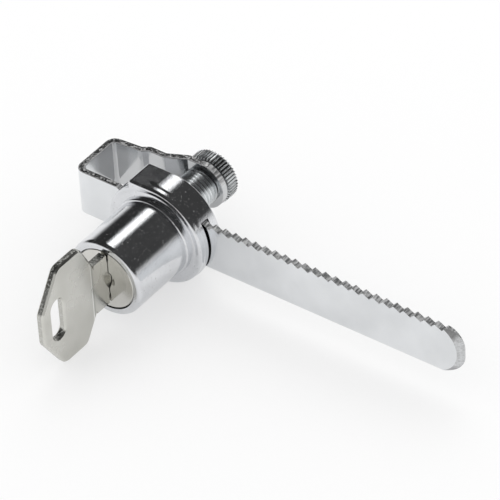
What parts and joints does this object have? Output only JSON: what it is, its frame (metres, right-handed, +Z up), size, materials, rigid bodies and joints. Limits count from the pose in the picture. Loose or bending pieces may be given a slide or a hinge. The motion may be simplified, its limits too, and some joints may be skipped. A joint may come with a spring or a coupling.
{
  "type": "ratchet lock",
  "caption": "Ratchet lock for sliding glass doors: serrated strip with a hook and clamp screw, and a keyed lock body that slides along it and is held by a pawl.",
  "frame": {"origin": "on the lock's turning axis, at mid height of the serrated strip, on the strip's rear face that the glass lies against", "axes": "+X along the serrated strip towards its rounded tip, +Y back through the glass from the key to the clamp knob, +Z up"},
  "size_m": [0.0975, 0.0615, 0.0258],
  "materials": {
    "plated_steel": "bright plated sheet steel",
    "body_chrome": "mirror chrome on a casting",
    "plug_nickel": "satin nickel",
    "key_nickel": "nickel plated",
    "screw_zinc": "bright zinc plated, threaded and knurled",
    "hard_steel": "plain steel",
    "spring_steel": "spring wire and sheet",
    "wafer_brass": "plain brass",
    "pad_plastic": "black nylon"
  },
  "bodies": {
    "strip": {"ratchet_strip": "plated_steel"},
    "lock": {"lock_body": "body_chrome", "back_plate": "plated_steel", "pawl_spring": "spring_steel", "rivet_1": "hard_steel", "rivet_2": "hard_steel", "rivet_3": "hard_steel"},
    "plug": {"plug": "plug_nickel", "plug_clip": "spring_steel", "wafer_spring_1": "spring_steel", "wafer_spring_2": "spring_steel", "wafer_spring_3": "spring_steel", "wafer_spring_4": "spring_steel", "wafer_spring_5": "spring_steel"},
    "key": {"key": "key_nickel"},
    "pawl": {"pawl": "hard_steel"},
    "pad": {"clamp_pad": "pad_plastic"},
    "screw": {"clamp_screw": "screw_zinc", "clamp_knob": "screw_zinc"},
    "wafer_1": {"wafer_1": "wafer_brass"},
    "wafer_2": {"wafer_2": "wafer_brass"},
    "wafer_3": {"wafer_3": "wafer_brass"},
    "wafer_4": {"wafer_4": "wafer_brass"},
    "wafer_5": {"wafer_5": "wafer_brass"}
  },
  "joints": [
    {"name": "body_slide", "type": "slide", "parent": "strip", "child": "lock", "axis": [1, 0, 0], "range_m": [-0.0075, 0.06]},
    {"name": "plug_turn", "type": "hinge", "parent": "lock", "child": "plug", "pos_m": [0, 0, 0], "axis": [0, 1, 0], "range_deg": [0, 90]},
    {"name": "pawl_slide", "type": "slide", "parent": "lock", "child": "pawl", "axis": [0, 0, 1], "range_m": [-0.0018, 0], "deforming": ["pawl_spring"]},
    {"name": "key_slide", "type": "slide", "parent": "plug", "child": "key", "axis": [0, -1, 0], "range_m": [0, 0.015]},
    {"name": "screw_feed", "type": "slide", "parent": "strip", "child": "pad", "axis": [0, 1, 0], "range_m": [0, 0.009]},
    {"name": "screw_turn", "type": "hinge", "parent": "pad", "child": "screw", "pos_m": [-0.0017, 0, 0], "axis": [0, 1, 0], "range_deg": [0, 3605]},
    {"name": "wafer_slide_1", "type": "slide", "parent": "plug", "child": "wafer_1", "axis": [0, 0, -1], "range_m": [0, 0.0004], "stiffness_N_per_m": 60, "deforming": ["wafer_spring_1"]},
    {"name": "wafer_slide_2", "type": "slide", "parent": "plug", "child": "wafer_2", "axis": [0, 0, -1], "range_m": [0, 0.0004], "stiffness_N_per_m": 60, "deforming": ["wafer_spring_2"]},
    {"name": "wafer_slide_3", "type": "slide", "parent": "plug", "child": "wafer_3", "axis": [0, 0, -1], "range_m": [0, 0.0004], "stiffness_N_per_m": 60, "deforming": ["wafer_spring_3"]},
    {"name": "wafer_slide_4", "type": "slide", "parent": "plug", "child": "wafer_4", "axis": [0, 0, -1], "range_m": [0, 0.0004], "stiffness_N_per_m": 60, "deforming": ["wafer_spring_4"]},
    {"name": "wafer_slide_5", "type": "slide", "parent": "plug", "child": "wafer_5", "axis": [0, 0, -1], "range_m": [0, 0.0004], "stiffness_N_per_m": 60, "deforming": ["wafer_spring_5"]}
  ],
  "couplings": [
    {"joint": "pawl_slide", "follows": "plug_turn", "m_per_rad": -0.0011254},
    {"joint": "screw_turn", "follows": "screw_feed", "rad_per_m": 6981.3}
  ]
}
